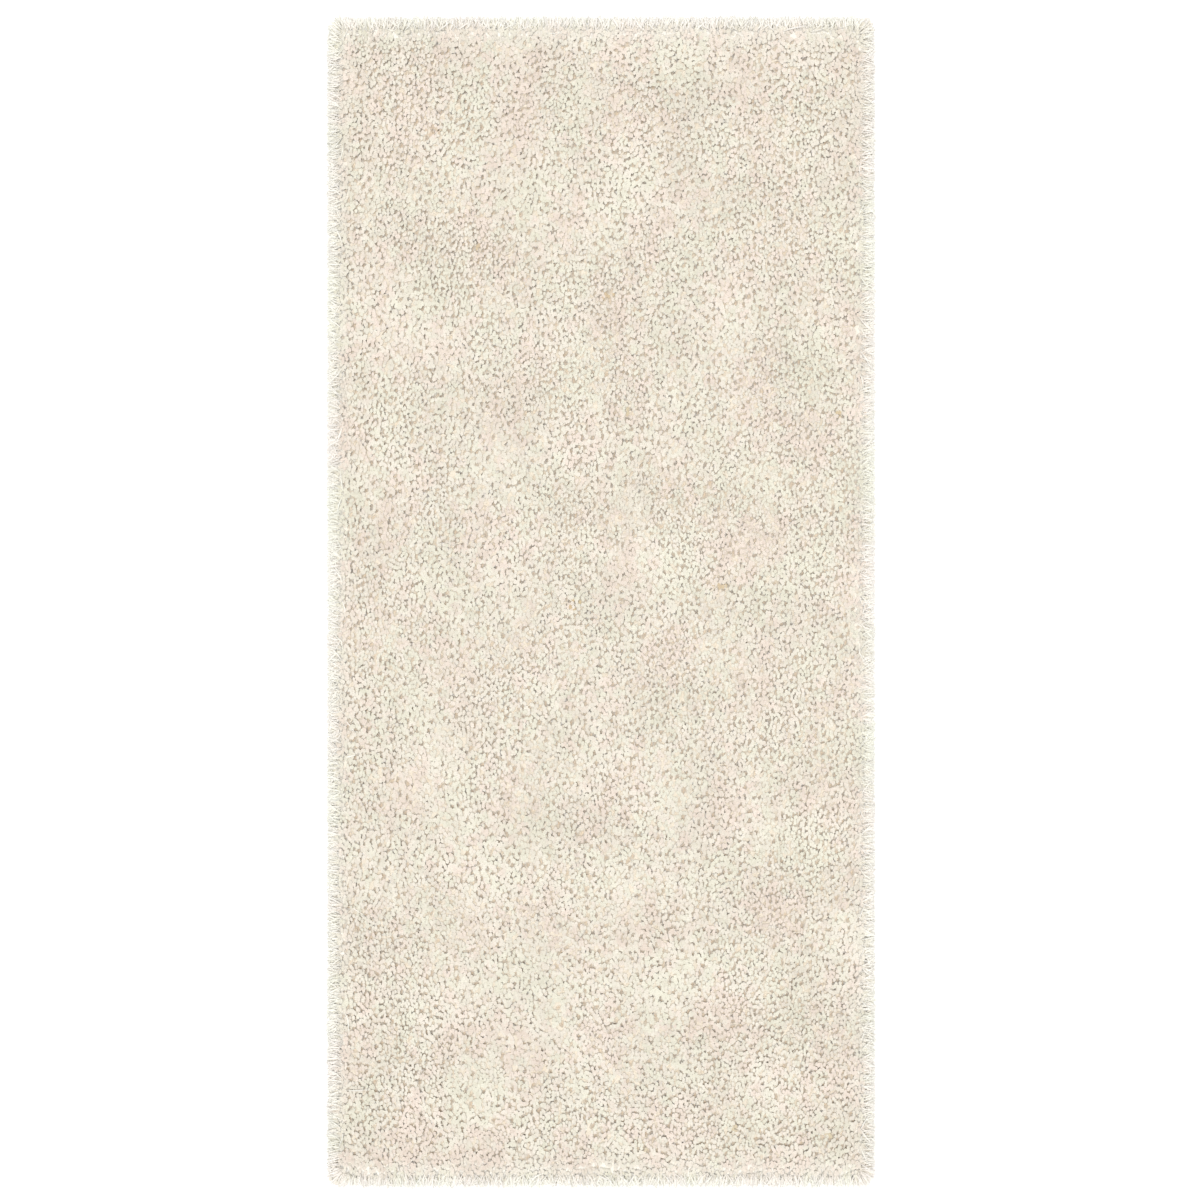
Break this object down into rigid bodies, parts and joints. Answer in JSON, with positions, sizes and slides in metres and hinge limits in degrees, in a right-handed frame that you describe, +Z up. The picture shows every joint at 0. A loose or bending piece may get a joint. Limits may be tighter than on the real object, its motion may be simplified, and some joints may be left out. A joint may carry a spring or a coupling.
{
  "type": "shag rug",
  "caption": "Plain rectangular cream shag rug lying flat, with a deep loose pile on a woven backing and strands that splay out and down to the floor at its rim.",
  "frame": {"origin": "on the floor under the middle of the rug, at the centre of the backing's underside", "axes": "+X across the rug's width, +Y along its length, +Z up out of the pile"},
  "size_m": [0.7, 1.5, 0.0397],
  "materials": {
    "shag_yarn": "matt cream yarn",
    "backing_cloth": "matt tan woven cloth"
  },
  "bodies": {
    "root": {"pile": "shag_yarn", "backing": "backing_cloth"}
  },
  "joints": []
}
